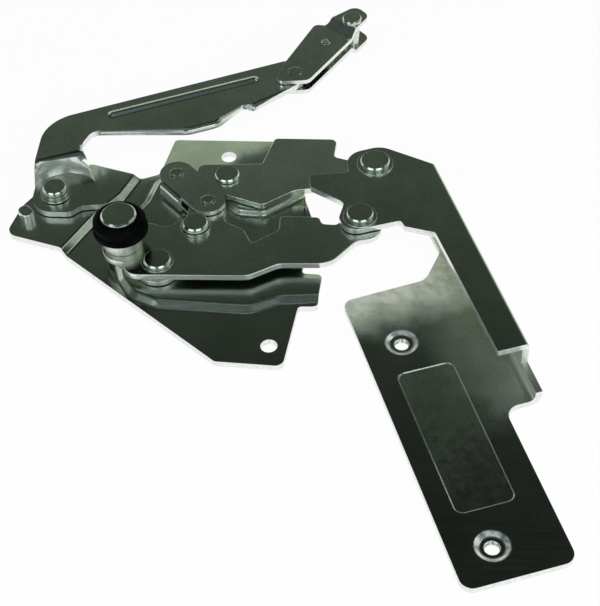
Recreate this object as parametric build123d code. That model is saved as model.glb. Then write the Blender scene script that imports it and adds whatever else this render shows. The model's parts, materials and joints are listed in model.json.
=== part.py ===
from build123d import *
from math import cos, radians, sin, tan
import os

# Dishwasher door hinge of zinc-plated pressed steel, in millimetres.
# Origin: axis of the upper fixing hole, on the back face of the base. +Z points along the pivots.
# +X runs along the base's top edge, and the door arm's flange points away toward -Y.

# Pivot positions in plan, all seen from above
TOGGLE_PIVOT = (-13.9, -16.4)
TOGGLE_PIN = (-3.1, -28.1)
UPPER_PIVOT = (1.4, -15.6)
DOOR_PIVOT = (42.6, -34.6)
DOOR_TURN = 19.5
DOOR_UPPER_PIN = (11.3, 20.7)
GUIDE_PIN = (-5.8, -38.4)
LINK_RIVET = (-15.4, -52.4)
BUMPER = (-26.5, -45.4)
ARM_PIVOT = (-50.6, -23.2)
ARM_END_PIN = (19.5, 28.0)
FORK_RIVET = (28.7, 43.6)
SPRING_PIN = (36.9, 51.9)
LOWER_FIXING = (18.7, -78.7)

# Swing of the toggle from the folded rest pose, which sets the guide slot
TOGGLE_SWING_DOWN = 72.3
TOGGLE_SWING_UP = 2.1

# Sheets and the play between layers that slide on each other
BASE_T = 2.0
LINK_T = 2.0
DOUBLER_T = 1.8
DOUBLER_BUMPER_R = 5.4
DOUBLER_RIVET_R = 6.4
DOUBLER_GUIDE_R = 5.0
TOGGLE_T = 1.5
DOOR_T = 2.0
ARM_T = 2.0
PULL_T = 1.5
PLAY = 0.3
RUNNING = 0.05
EDGE_R = 0.3

# Base plate
PLATFORM_RISE = 1.8
LOBE_RISE = 1.8
RAMP_RUN = 2.0
FIXING_D = 4.8
SLOT_PLAY = 0.3
LUG_LENGTH = 5.0
LUG_WIDTH = 3.8
LUG_RISE = 3.2
LUG_ROUND = 0.5
LUG_AT = (-58.4, -31.2)
LUG_TURN = -44.0

# Pins and rivets
PIVOT_R = 2.4
ARM_PIVOT_R = 3.0
DOOR_PIN_R = 2.5
SPRING_PIN_R = 2.4
SPRING_HEAD_OVER = 0.8
SPRING_HEAD_H = 1.4
HEAD_H = 1.4
TAIL_H = 1.3
TAIL_OVER = 1.5
UPPER_HEAD_R = 3.75
GUIDE_HEAD_R = 4.5
GUIDE_TOP_R = 3.8
LINK_RIVET_HEAD_R = 4.0
LINK_RIVET_RING_R = 4.65
ARM_HEAD_R = 4.6
ARM_TOP_R = 3.6
DOOR_UPPER_HEAD_R = 4.5
DOOR_UPPER_RING_R = 5.5
DOOR_LOWER_HEAD_R = 4.0
DOOR_LOWER_RING_R = 5.0
WASHER_T = 0.5
OPEN_PIN_PLAY = 1.7

# Toggle channel
TOGGLE_END_R = 5.2
TOGGLE_WEB_OUT = 7.1
TOGGLE_WEB_FROM = 0.6
TOGGLE_WEB_TO = 9.8
TOGGLE_BEND = 2.0

# Upper link, in reach from its pivot and from the door arm's upper pin
UPPER_TAIL = 9.6
UPPER_BACK = 5.4
UPPER_KNEE = (11.6, -12.2)
UPPER_BELLY = (20.6, -5.6)
UPPER_HUMP_FROM = 13.2
UPPER_HUMP_TO = 32.8
UPPER_HUMP_TOP = 18.2
UPPER_HUMP_FOOT = 10.0
UPPER_END = 6.8

# Rubber bumper
BUMPER_R = 7.7
BUMPER_H = 5.9
BUMPER_LIP_H = 2.3
BUMPER_LIP = 0.35
BUMPER_FOOT = 0.6
BUMPER_ROUND = 1.2
BUMPER_CAP_R = 5.2
BUMPER_CAP_H = 1.1
BUMPER_CAP_CHAMFER = 0.6
SPACER_R = 5.6
SPACER_H = 5.1
BUMPER_STUD_R = 2.5

# Door arm, in its own axes: u across the channel, v along the door, both from the door pivot
FLANGE_BELOW = 0.5
CHANNEL_OUT = 28.8
CHANNEL_BEND = 0.4
CHANNEL_EDGE = 1.2
FLANGE_BEND = 2.0
FLANGE_LEFT = -12.2
FLANGE_RIGHT = 18.0
FLANGE_END = -122.7
FLANGE_TOP = -20.8
FLANGE_SHOULDER = (13.5, -11.0)
STRIP_LEFT = 19.0
STRIP_END = -61.2
WALL_END = -72.1
WALL_STEP = 7.5
COLLAR_U = -0.8
COLLAR_FAR = -41.3
COLLAR_PITCH = 71.0
COLLAR_R = 4.9
COLLAR_FLOOR_R = 2.9
COLLAR_DROP = 1.0
THREAD_R = 2.1
PANEL_LEFT = -6.2
PANEL_RIGHT = 10.4
PANEL_TOP = -52.0
PANEL_BOTTOM = -101.0
PANEL_DROP = 0.35
PANEL_CORNER = 2.5

# Spring arm and pull link
ARM_RISE = 6.5
ARM_FOLD_TURN = 22.5
ARM_FOLD_AT = 9.0
ARM_FOLD_WALL = 1.6
ARM_SEAT_R = 10.2
ARM_SEAT_SHIFT = 2.6
ARM_RAMP_RUN = 0.3
ARM_FOOT_RIGHT = 14.5
ARM_ROUND_R = 7.6
ARM_LEFT = 7.0
BEAD_W = 3.2
BEAD_H = 0.75
BEAD_TAPER = 58.0
BEAD_FROM = (-36.8, 7.3)
BEAD_TO = (6.3, 25.6)
FORK_GAP = 7.4
FORK_FOLD_BACK = 5.0
FORK_FOLD_RUN = 2.4
FORK_RIVET_R = 1.6
FORK_RIVET_BORE = 0.9
FORK_SPACER_WALL = 1.4
PULL_PLAY = 0.2

# Levels, from the base's back face upward
platform_top = BASE_T + PLATFORM_RISE
lobe_top = BASE_T + LOBE_RISE
doubler_z = platform_top + PLAY
link_z = doubler_z + DOUBLER_T
link_top = link_z + LINK_T
saddle_rise = link_z - PLAY - BASE_T
toggle_z = platform_top + PLAY
toggle_upper_z = link_top + PLAY
toggle_top = toggle_upper_z + TOGGLE_T
door_z = link_top + PLAY
door_top = door_z + DOOR_T
flange_top = -FLANGE_BELOW
flange_z = flange_top - DOOR_T
arm_z = lobe_top + PLAY
arm_high_z = arm_z + ARM_RISE
arm_high_top = arm_high_z + ARM_T
parts = {}


def near(pivot, dx, dy, radius):
    """Outline corner placed from a pivot, with its corner radius."""
    return (pivot[0] + dx, pivot[1] + dy, radius)


def rounded(*corners):
    """Face with straight edges between (x, y, radius) corners, each corner cut by a tangent arc."""
    edges = []
    joints = []
    count = len(corners)
    for i, (x, y, radius) in enumerate(corners):
        tip = Vector(x, y)
        back = (Vector(*corners[i - 1][:2]) - tip).normalized()
        ahead = (Vector(*corners[(i + 1) % count][:2]) - tip).normalized()
        half = radians(back.get_angle(ahead) / 2)
        inward = (back + ahead).normalized()
        middle = tip + inward * (radius / sin(half) - radius)
        start = tip + back * (radius / tan(half))
        end = tip + ahead * (radius / tan(half))
        edges.append(ThreePointArc(start, middle, end))
        joints.append((start, end))
    for i in range(count):
        edges.append(Line(joints[i - 1][1], joints[i][0]))
    return make_face(edges)


def stamped(face, z, thickness):
    """Stamped sheet: the face extruded up from z, with its upper rim rounded by the punch."""
    sheet = Pos(0, 0, z) * extrude(face, thickness)
    rim = sheet.edges().group_by(Axis.Z)[-1]
    return fillet(rim, EDGE_R)


def disc(pivot, radius, z, height):
    """Upright cylinder standing on z at a pivot."""
    return Pos(pivot[0], pivot[1], z + height / 2) * Cylinder(radius, height)


def ring(pivot, outer, inner, z, height):
    """Flat washer lying on z round a pivot."""
    return disc(pivot, outer, z, height) - disc(pivot, inner, z, height)


def turned(pivot, *rim):
    """Pin turned about a pivot: rim lists (radius, height) from the lowest point to the highest."""
    outline = [(0, rim[0][1]), *rim, (0, rim[-1][1])]
    profile = Plane.XZ * make_face(Polyline(*outline, close=True))
    return Pos(pivot[0], pivot[1]) * revolve(profile, Axis.Z)


def pressed(face, rise):
    """Pressed rise of a sheet: the top face joined to a wider foot by sloping walls."""
    foot = offset(face, RAMP_RUN)
    return loft([foot.face(), Pos(0, 0, rise) * face.face()])


def turn(vector, angle):
    """Plan vector turned by an angle in degrees."""
    c = cos(radians(angle))
    s = sin(radians(angle))
    return (c * vector[0] - s * vector[1], s * vector[0] + c * vector[1])


# Base plate: one pressing with a lifted left lobe, a platform under the links and a saddle at the upper pivot
base_face = rounded(
    near(ARM_PIVOT, -13.0, -15.0, 3.5), near(ARM_PIVOT, 4.1, -20.2, 3.0),
    near(LOWER_FIXING, -14.7, -6.2, 2.0), near(LOWER_FIXING, 4.3, -7.3, 2.5),
    near(LOWER_FIXING, 7.2, 15.2, 1.2), near(LOWER_FIXING, 12.7, 15.4, 1.5),
    near(LOWER_FIXING, 13.6, 26.3, 1.5), near(LOWER_FIXING, 7.6, 26.7, 1.0),
    (28.2, -30.0, 3.0), (25.2, -20.0, 3.0), (22.0, 7.7, 3.0), (-17.9, 7.7, 1.5),
    (-20.8, -8.6, 2.0), (-26.8, -11.3, 5.0), near(ARM_PIVOT, 8.2, 16.7, 3.0),
    near(ARM_PIVOT, -0.4, 13.7, 6.0), near(ARM_PIVOT, -10.2, -2.8, 5.0))
lobe = rounded(
    near(ARM_PIVOT, 1.0, -28.5, 2.0), near(ARM_PIVOT, 5.0, -20.1, 2.0), near(ARM_PIVOT, 12.5, -4.9, 6.0),
    near(ARM_PIVOT, 18.4, 2.8, 6.0), near(ARM_PIVOT, 22.0, 12.0, 3.0), near(ARM_PIVOT, 22.0, 32.0, 2.0),
    near(ARM_PIVOT, -22.0, 32.0, 2.0), near(ARM_PIVOT, -22.0, -28.5, 2.0))
platform = rounded(
    near(LINK_RIVET, -6.1, -8.0, 5.0), near(LINK_RIVET, 0.6, -11.1, 4.0), near(LINK_RIVET, 27.5, -12.6, 6.0),
    near(LINK_RIVET, 36.0, -8.4, 6.0), near(LINK_RIVET, 60.0, -6.5, 2.0), near(LINK_RIVET, 60.0, 40.9, 2.0),
    near(TOGGLE_PIVOT, -5.6, 4.9, 4.0), near(TOGGLE_PIVOT, -8.0, -6.0, 5.0), near(BUMPER, -4.0, 7.0, 6.0),
    near(LINK_RIVET, -10.0, -2.0, 5.0))
saddle = rounded(
    near(UPPER_PIVOT, -4.6, 4.1, 2.0), near(UPPER_PIVOT, -4.6, -3.0, 3.0), near(UPPER_PIVOT, 4.6, -11.8, 3.0),
    near(UPPER_PIVOT, 11.8, -12.4, 3.0), near(UPPER_PIVOT, 18.1, -7.4, 4.0),
    near(UPPER_PIVOT, 24.0, -2.0, 4.0),
    near(UPPER_PIVOT, 45.0, -0.5, 1.0), near(UPPER_PIVOT, 45.0, 4.1, 1.0))
rises = [pressed(lobe, LOBE_RISE), pressed(platform, PLATFORM_RISE), pressed(saddle, saddle_rise)]
base_plate = extrude(base_face, BASE_T)
for rise in rises:
    base_plate += Pos(0, 0, BASE_T) * (rise & extrude(base_face, saddle_rise + BASE_T))
    base_plate -= rise
lug_place = Pos(LUG_AT[0], LUG_AT[1], lobe_top - BASE_T / 2) * Rot(0, 0, LUG_TURN)
lug = extrude(RectangleRounded(LUG_LENGTH, LUG_WIDTH, LUG_WIDTH / 2.2), LUG_RISE + BASE_T / 2)
base_plate += lug_place * fillet(lug.edges().group_by(Axis.Z)[-1], LUG_ROUND)
toggle_arm = (TOGGLE_PIN[0] - TOGGLE_PIVOT[0], TOGGLE_PIN[1] - TOGGLE_PIVOT[1])
slot_centre = (GUIDE_PIN[0] - toggle_arm[0], GUIDE_PIN[1] - toggle_arm[1])
slot_points = []
for angle in (TOGGLE_SWING_UP, -TOGGLE_SWING_DOWN / 2, -TOGGLE_SWING_DOWN):
    step = turn(toggle_arm, angle)
    slot_points.append((slot_centre[0] + step[0], slot_centre[1] + step[1]))
slot_path = ThreePointArc(*slot_points)
slot_r = PIVOT_R + SLOT_PLAY
base_plate -= extrude(SlotArc(slot_path, 2 * slot_r), platform_top)
for hole in ((0, 0), LOWER_FIXING):
    base_plate -= disc(hole, FIXING_D / 2, 0, BASE_T)
base_plate -= disc(TOGGLE_PIVOT, PIVOT_R, 0, platform_top)
base_plate -= disc(UPPER_PIVOT, PIVOT_R, 0, link_z)
base_plate -= disc(ARM_PIVOT, ARM_PIVOT_R, 0, lobe_top)
parts["base_plate"] = base_plate

# Fixed pivot rivets of the base, each with its tail headed over in the hollow under the pressing
parts["toggle_pivot_rivet"] = turned(
    TOGGLE_PIVOT, (PIVOT_R + TAIL_OVER, PLATFORM_RISE - TAIL_H), (PIVOT_R + TAIL_OVER, PLATFORM_RISE),
    (PIVOT_R, PLATFORM_RISE), (PIVOT_R, toggle_top - EDGE_R), (PIVOT_R - EDGE_R, toggle_top))
head_z = link_top + PLAY / 2
parts["upper_pivot_rivet"] = turned(
    UPPER_PIVOT, (PIVOT_R + TAIL_OVER, saddle_rise - TAIL_H), (PIVOT_R + TAIL_OVER, saddle_rise),
    (PIVOT_R, saddle_rise), (PIVOT_R, head_z), (UPPER_HEAD_R, head_z),
    (UPPER_HEAD_R, head_z + HEAD_H - EDGE_R), (UPPER_HEAD_R - EDGE_R, head_z + HEAD_H))
arm_head_z = arm_z + ARM_T + PLAY + WASHER_T
parts["arm_pivot_rivet"] = turned(
    ARM_PIVOT, (ARM_PIVOT_R + TAIL_OVER, LOBE_RISE - TAIL_H), (ARM_PIVOT_R + TAIL_OVER, LOBE_RISE),
    (ARM_PIVOT_R, LOBE_RISE), (ARM_PIVOT_R, arm_head_z), (ARM_HEAD_R - WASHER_T, arm_head_z),
    (ARM_HEAD_R - WASHER_T, arm_head_z + HEAD_H - EDGE_R), (ARM_TOP_R, arm_head_z + HEAD_H),
    (ARM_TOP_R, arm_head_z + 2 * HEAD_H - EDGE_R), (ARM_TOP_R - EDGE_R, arm_head_z + 2 * HEAD_H))
parts["arm_pivot_washer"] = ring(ARM_PIVOT, ARM_HEAD_R, ARM_PIVOT_R, arm_head_z - WASHER_T, WASHER_T)

# Toggle: a small folded channel whose two flanges hold the base pivot and the lower link's ear
toggle_angle = Vector(*toggle_arm).get_signed_angle(Vector(1, 0, 0), Vector(0, 0, -1))
toggle_length = Vector(*toggle_arm).length
toggle_place = Pos(*TOGGLE_PIVOT) * Rot(0, 0, toggle_angle)
flange_face = make_hull((Circle(TOGGLE_END_R) + Pos(toggle_length, 0) * Circle(TOGGLE_END_R)).edges())
web_length = TOGGLE_WEB_TO - TOGGLE_WEB_FROM
web_height = toggle_top - toggle_z
outer = Pos(0, web_height / 2) * Rectangle(2 * TOGGLE_WEB_OUT, web_height)
inner = Pos(0, web_height / 2) * Rectangle(2 * (TOGGLE_WEB_OUT - TOGGLE_T), web_height - 2 * TOGGLE_T)
section = fillet(outer.vertices(), TOGGLE_BEND) - fillet(inner.vertices(), TOGGLE_BEND - TOGGLE_T)
section &= Pos(-TOGGLE_WEB_OUT, web_height / 2) * Rectangle(2 * TOGGLE_WEB_OUT, web_height)
web_plane = Plane(origin=(TOGGLE_WEB_FROM, 0, toggle_z), x_dir=(0, 1, 0), z_dir=(1, 0, 0))
toggle_link = extrude(web_plane * section, web_length)
toggle_link += Pos(0, 0, toggle_z) * extrude(flange_face, TOGGLE_T)
toggle_link += Pos(0, 0, toggle_upper_z) * extrude(flange_face, TOGGLE_T)
toggle_link = toggle_place * toggle_link
toggle_link -= disc(TOGGLE_PIVOT, PIVOT_R + RUNNING, 0, toggle_top)
toggle_link -= disc(TOGGLE_PIN, PIVOT_R, 0, toggle_top)
parts["toggle_link"] = toggle_link
parts["toggle_pin"] = turned(
    TOGGLE_PIN, (PIVOT_R, toggle_z), (PIVOT_R, toggle_top - EDGE_R), (PIVOT_R - EDGE_R, toggle_top))

# Lower link: carries the bumper, the guide pin and the door pivot
lower_face = rounded(
    near(LINK_RIVET, -9.1, -5.6, 4.4), near(LINK_RIVET, 26.7, -4.9, 6.0), near(LINK_RIVET, 35.2, 0.2, 5.0),
    near(DOOR_PIVOT, -8.1, -17.1, 8.0), near(DOOR_PIVOT, -0.6, -7.4, 4.0), near(DOOR_PIVOT, 6.4, -6.6, 5.8),
    near(DOOR_PIVOT, 6.4, 6.4, 6.2), near(DOOR_PIVOT, -6.2, 6.4, 5.5), near(DOOR_PIVOT, -6.2, -1.1, 1.5),
    near(DOOR_PIVOT, -11.2, -0.8, 1.5), near(DOOR_PIVOT, -12.2, 2.0, 1.5), near(DOOR_PIVOT, -23.9, 2.2, 1.2),
    near(DOOR_PIVOT, -23.7, -3.6, 2.5), near(DOOR_PIVOT, -31.4, -9.6, 1.0), near(GUIDE_PIN, 14.2, 0.0, 3.0),
    near(GUIDE_PIN, 8.0, 3.4, 2.5), near(TOGGLE_PIN, 5.0, 4.9, 4.7), near(TOGGLE_PIN, -5.0, 4.9, 4.7),
    near(TOGGLE_PIN, -6.1, -5.7, 3.0), near(GUIDE_PIN, -8.7, 0.2, 4.0), near(GUIDE_PIN, -13.7, 2.0, 3.0),
    near(BUMPER, -5.8, 6.6, 5.6), near(BUMPER, -5.8, -5.8, 5.6), near(LINK_RIVET, -9.8, -0.8, 0.8))
for pin, radius in ((TOGGLE_PIN, PIVOT_R + RUNNING), (DOOR_PIVOT, DOOR_PIN_R),
                    (GUIDE_PIN, PIVOT_R), (LINK_RIVET, PIVOT_R), (BUMPER, BUMPER_STUD_R)):
    lower_face -= Pos(*pin) * Circle(radius)
parts["lower_link"] = stamped(lower_face, link_z, LINK_T)

# Doubler riveted under the bumper end of the lower link
doubler_face = make_hull((Pos(*BUMPER) * Circle(DOUBLER_BUMPER_R) + Pos(*LINK_RIVET) * Circle(DOUBLER_RIVET_R)
                          + Pos(*GUIDE_PIN) * Circle(DOUBLER_GUIDE_R)).edges())
for pin, radius in ((GUIDE_PIN, PIVOT_R), (LINK_RIVET, PIVOT_R), (BUMPER, BUMPER_STUD_R)):
    doubler_face -= Pos(*pin) * Circle(radius)
parts["reinforcing_plate"] = Pos(0, 0, doubler_z) * extrude(doubler_face, DOUBLER_T)
parts["link_rivet"] = turned(
    LINK_RIVET, (PIVOT_R, doubler_z), (PIVOT_R, link_top), (LINK_RIVET_RING_R, link_top),
    (LINK_RIVET_RING_R, link_top + EDGE_R), (LINK_RIVET_HEAD_R, link_top + EDGE_R),
    (LINK_RIVET_HEAD_R, link_top + HEAD_H - EDGE_R), (LINK_RIVET_HEAD_R - EDGE_R, link_top + HEAD_H))

# Guide pin: fixed in the lower link, its tail runs in the arc slot of the base and is kept by a washer
guide_foot = PLATFORM_RISE - PLAY - TAIL_H
parts["guide_pin"] = turned(
    GUIDE_PIN, (PIVOT_R, guide_foot), (PIVOT_R, link_top), (GUIDE_HEAD_R, link_top),
    (GUIDE_HEAD_R, link_top + HEAD_H - EDGE_R), (GUIDE_TOP_R, link_top + HEAD_H),
    (GUIDE_TOP_R, link_top + 2 * HEAD_H - EDGE_R), (GUIDE_TOP_R - EDGE_R, link_top + 2 * HEAD_H))
parts["guide_washer"] = ring(GUIDE_PIN, GUIDE_HEAD_R, PIVOT_R, guide_foot, TAIL_H)

# Bumper: stepped spacer, moulded rubber and a headed stud riveted through the lower link
spacer_top = link_top + SPACER_H
parts["bumper_spacer"] = ring(BUMPER, SPACER_R, BUMPER_STUD_R, link_top, SPACER_H)
rubber_top = spacer_top + BUMPER_H
rubber = turned(
    BUMPER, (BUMPER_R - BUMPER_FOOT, spacer_top), (BUMPER_R + BUMPER_LIP, spacer_top + BUMPER_FOOT),
    (BUMPER_R + BUMPER_LIP, spacer_top + BUMPER_LIP_H), (BUMPER_R, spacer_top + BUMPER_LIP_H + BUMPER_LIP),
    (BUMPER_R, rubber_top - BUMPER_ROUND), (BUMPER_R - BUMPER_ROUND / 3, rubber_top - BUMPER_ROUND / 3),
    (BUMPER_R - BUMPER_ROUND, rubber_top))
parts["rubber_bumper"] = rubber - disc(BUMPER, BUMPER_STUD_R, spacer_top, BUMPER_H)
parts["bumper_stud"] = turned(
    BUMPER, (BUMPER_STUD_R, doubler_z), (BUMPER_STUD_R, rubber_top), (BUMPER_CAP_R, rubber_top),
    (BUMPER_CAP_R, rubber_top + BUMPER_CAP_H - BUMPER_CAP_CHAMFER),
    (BUMPER_CAP_R - BUMPER_CAP_CHAMFER, rubber_top + BUMPER_CAP_H))

# Upper link: rocks on the base pivot and carries the door arm's upper pin in an eased hole
pin_step = turn(DOOR_UPPER_PIN, DOOR_TURN)
door_upper = (DOOR_PIVOT[0] + pin_step[0], DOOR_PIVOT[1] + pin_step[1])
upper_face = rounded(
    near(UPPER_PIVOT, -UPPER_TAIL, -UPPER_TAIL / 3, 2.5),
    near(UPPER_PIVOT, -UPPER_TAIL / 7, UPPER_KNEE[1] * 0.6, 4.0),
    near(UPPER_PIVOT, *UPPER_KNEE, 2.5), near(UPPER_PIVOT, *UPPER_BELLY, 6.0),
    near(door_upper, -UPPER_END * 1.24, -UPPER_END, 6.0), near(door_upper, UPPER_END, -UPPER_END, 6.4),
    near(door_upper, UPPER_END, UPPER_END, 6.4), near(door_upper, -UPPER_END / 2, UPPER_END, 3.0),
    near(door_upper, -UPPER_END * 1.12, UPPER_END * 0.6, 2.5),
    near(UPPER_PIVOT, UPPER_HUMP_TO * 0.98, UPPER_HUMP_FOOT, 1.5),
    near(UPPER_PIVOT, UPPER_HUMP_TO, UPPER_HUMP_TOP, 2.0),
    near(UPPER_PIVOT, UPPER_HUMP_FROM, UPPER_HUMP_TOP, 1.5),
    near(UPPER_PIVOT, UPPER_HUMP_FROM * 0.77, UPPER_BACK * 1.15, 1.0),
    near(UPPER_PIVOT, -UPPER_TAIL, UPPER_BACK, 2.5))
upper_face -= Pos(*UPPER_PIVOT) * Circle(PIVOT_R + RUNNING)
upper_face -= Pos(*door_upper) * Circle(DOOR_PIN_R + OPEN_PIN_PLAY)
parts["upper_link"] = stamped(upper_face, link_z, LINK_T)

# Door arm: one folded sheet, a top plate with two pivots, a side wall and the long tapped flange below
channel_height = door_top - flange_z
channel_width = 2 * (CHANNEL_OUT - FLANGE_LEFT)
channel_middle = flange_z + channel_height / 2
outer = Pos(CHANNEL_OUT - channel_width / 2, channel_middle) * Rectangle(channel_width, channel_height)
inner = Pos(CHANNEL_OUT - DOOR_T - channel_width / 2, channel_middle) * Rectangle(
    channel_width, channel_height - 2 * DOOR_T)
outer_low, outer_high = outer.vertices().group_by(Axis.X)[-1].sort_by(Axis.Y)
outer = fillet(outer_high, CHANNEL_EDGE)
outer = fillet(outer.vertices().sort_by_distance(outer_low)[0], FLANGE_BEND + DOOR_T)
inner_low, inner_high = inner.vertices().group_by(Axis.X)[-1].sort_by(Axis.Y)
inner = fillet(inner_high, CHANNEL_BEND)
inner = fillet(inner.vertices().sort_by_distance(inner_low)[0], FLANGE_BEND)
far = DOOR_UPPER_PIN[1] + 2 * DOOR_UPPER_RING_R
channel_plane = Plane(origin=(0, far, 0), z_dir=(0, -1, 0), x_dir=(1, 0, 0))
channel = extrude(channel_plane * (outer - inner), 2 * far - FLANGE_END)
top_face = rounded(
    (-5.2, -4.7, 4.4), (10.9, -5.1, 1.0), (11.2, -7.8, 0.8), (STRIP_LEFT - 0.2, -12.9, 1.0),
    (STRIP_LEFT + 0.6, STRIP_END, 0.4), (CHANNEL_OUT + 5, STRIP_END, 0.4), (CHANNEL_OUT + 5, 10.8, 0.4),
    (CHANNEL_OUT - 1.2, 15.9, 1.5), (DOOR_UPPER_PIN[0] + 4.2, DOOR_UPPER_PIN[1] + 7.4, 7.0),
    (DOOR_UPPER_PIN[0] - 7.4, DOOR_UPPER_PIN[1] + 7.2, 6.0), (2.6, 19.6, 1.0), (-9.2, 22.4, 0.8),
    (-10.2, 17.0, 0.8), (-2.6, 7.4, 2.0), (-6.2, 1.4, 3.0))
flange_plan = rounded(
    (FLANGE_LEFT, FLANGE_END, 3.5), (FLANGE_RIGHT, FLANGE_END, 3.5), (FLANGE_RIGHT, WALL_END, 4.0),
    (CHANNEL_OUT + 5, WALL_END, 0.4), (CHANNEL_OUT + 5, 0.0, 0.4), (STRIP_LEFT + 2.3, 0.0, 2.0),
    (STRIP_LEFT + 2.3, FLANGE_SHOULDER[1], 3.0), (FLANGE_SHOULDER[0], FLANGE_TOP + 0.4, 5.0),
    (FLANGE_LEFT, FLANGE_TOP - 0.6, 3.0))
step_z = door_top - WALL_STEP
upper_half = Pos(0, 0, step_z) * extrude(top_face, door_top - step_z)
lower_half = Pos(0, 0, flange_z) * extrude(flange_plan, step_z - flange_z)
door_arm = channel & (upper_half + lower_half)
panel = Pos((PANEL_LEFT + PANEL_RIGHT) / 2, (PANEL_TOP + PANEL_BOTTOM) / 2) * RectangleRounded(
    PANEL_RIGHT - PANEL_LEFT, PANEL_TOP - PANEL_BOTTOM, PANEL_CORNER)
panel_floor = offset(panel, -PANEL_DROP)
panel_rim = (Pos(0, 0, flange_top) * panel).face()
dish = loft([panel_rim, (Pos(0, 0, flange_top - PANEL_DROP) * panel_floor).face()])
door_arm += Pos(0, 0, -DOOR_T) * dish
door_arm -= dish
for row in (COLLAR_FAR, COLLAR_FAR - COLLAR_PITCH):
    spot = (COLLAR_U, row)
    door_arm += turned(
        spot, (COLLAR_R - COLLAR_DROP, flange_z - COLLAR_DROP), (COLLAR_R, flange_z),
        (COLLAR_R, flange_z + DOOR_T / 2))
    door_arm -= turned(
        spot, (COLLAR_FLOOR_R, flange_top - COLLAR_DROP),
        ((2 * COLLAR_FLOOR_R + COLLAR_R) / 3, flange_top - 0.8 * COLLAR_DROP), (COLLAR_R, flange_top))
    door_arm -= disc(spot, THREAD_R, flange_z - COLLAR_DROP, DOOR_T + COLLAR_DROP)
door_arm -= disc((0, 0), DOOR_PIN_R + RUNNING, door_z, DOOR_T)
door_arm -= disc(DOOR_UPPER_PIN, DOOR_PIN_R, door_z, DOOR_T)
parts["door_arm"] = Pos(*DOOR_PIVOT) * Rot(0, 0, DOOR_TURN) * door_arm

# Door arm rivets: the upper one is fixed in the arm, the lower one in the lower link
tail_z = link_z - PLAY - TAIL_H
head_z = door_top + WASHER_T
parts["door_upper_washer"] = ring(door_upper, DOOR_UPPER_RING_R, DOOR_PIN_R, door_top, WASHER_T)
tail_r = DOOR_PIN_R + OPEN_PIN_PLAY + TAIL_OVER
parts["door_upper_rivet"] = turned(
    door_upper, (tail_r, tail_z), (tail_r, link_z - PLAY), (DOOR_PIN_R, link_z - PLAY),
    (DOOR_PIN_R, head_z), (DOOR_UPPER_HEAD_R, head_z),
    (DOOR_UPPER_HEAD_R, head_z + HEAD_H - EDGE_R), (DOOR_UPPER_HEAD_R - EDGE_R, head_z + HEAD_H))
head_z = door_top + PLAY / 2 + WASHER_T
parts["door_lower_washer"] = ring(DOOR_PIVOT, DOOR_LOWER_RING_R, DOOR_PIN_R, head_z - WASHER_T, WASHER_T)
parts["door_lower_rivet"] = turned(
    DOOR_PIVOT, (DOOR_PIN_R + TAIL_OVER, link_z - TAIL_H), (DOOR_PIN_R + TAIL_OVER, link_z),
    (DOOR_PIN_R, link_z), (DOOR_PIN_R, head_z), (DOOR_LOWER_HEAD_R, head_z),
    (DOOR_LOWER_HEAD_R, head_z + HEAD_H - EDGE_R), (DOOR_LOWER_HEAD_R - EDGE_R, head_z + HEAD_H))

# Spring arm: a joggled lever, low round its pivot and high along its beaded blade, with a curved ramp between
arm_face = rounded(
    near(ARM_PIVOT, -ARM_LEFT, -ARM_ROUND_R, 6.9), near(ARM_PIVOT, 5.5, -ARM_ROUND_R, 3.0),
    near(ARM_PIVOT, 8.6, -4.6, 2.0), near(ARM_PIVOT, 16.4, -3.6, 0.9), near(ARM_PIVOT, 10.2, 8.0, 2.0),
    near(ARM_PIVOT, 6.0, 15.5, 4.5), near(ARM_PIVOT, 8.6, 22.5, 4.0), (-12.0, 0.2, 9.0), (-3.0, 4.0, 8.0),
    (4.2, 13.4, 1.5), (7.2, 12.0, 1.5), near(ARM_END_PIN, 3.4, -2.4, 3.0), near(ARM_END_PIN, -2.0, 8.2, 3.0),
    near(ARM_PIVOT, -ARM_LEFT, 26.6, 13.5))
arm_place = Pos(*ARM_PIVOT) * Rot(0, 0, ARM_FOLD_TURN)
fold_step = ARM_SEAT_R + ARM_RAMP_RUN
seat_place = arm_place * Pos(ARM_SEAT_SHIFT, ARM_FOLD_AT - fold_step)
seat_out = ARM_SEAT_R + ARM_FOLD_WALL
arm_reach = 2 * seat_out
ramp_foot = make_face([
    ThreePointArc((-ARM_SEAT_R, 0), (0, ARM_SEAT_R), (ARM_SEAT_R, 0)), Line((ARM_SEAT_R, 0), (seat_out, 0)),
    ThreePointArc((seat_out, 0), (0, seat_out), (-seat_out, 0)), Line((-seat_out, 0), (-ARM_SEAT_R, 0))])
ramp_head = make_face(Polyline(
    (-ARM_SEAT_R, fold_step), (ARM_SEAT_R, fold_step), (seat_out, fold_step + ARM_FOLD_WALL),
    (-seat_out, fold_step + ARM_FOLD_WALL), close=True))
ramp = loft([(Pos(0, 0, arm_z) * ramp_foot).face(), (Pos(0, 0, arm_high_top) * ramp_head).face()], ruled=True)
seat_zone = seat_place * (Circle(seat_out) + Pos(0, -arm_reach / 2) * Rectangle(2 * arm_reach, arm_reach))
foot_zone = arm_place * Pos(ARM_FOOT_RIGHT - arm_reach, ARM_FOLD_AT - arm_reach) * Rectangle(
    2 * arm_reach, 2 * arm_reach)
spring_arm = (seat_place * ramp) & extrude(arm_face, arm_high_top)
spring_arm += Pos(0, 0, arm_z) * extrude(arm_face & foot_zone & seat_zone, ARM_T)
spring_arm += Pos(0, 0, arm_high_z) * extrude(arm_face - foot_zone, ARM_T)
bead_run = Vector(BEAD_TO[0] - BEAD_FROM[0], BEAD_TO[1] - BEAD_FROM[1])
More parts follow.
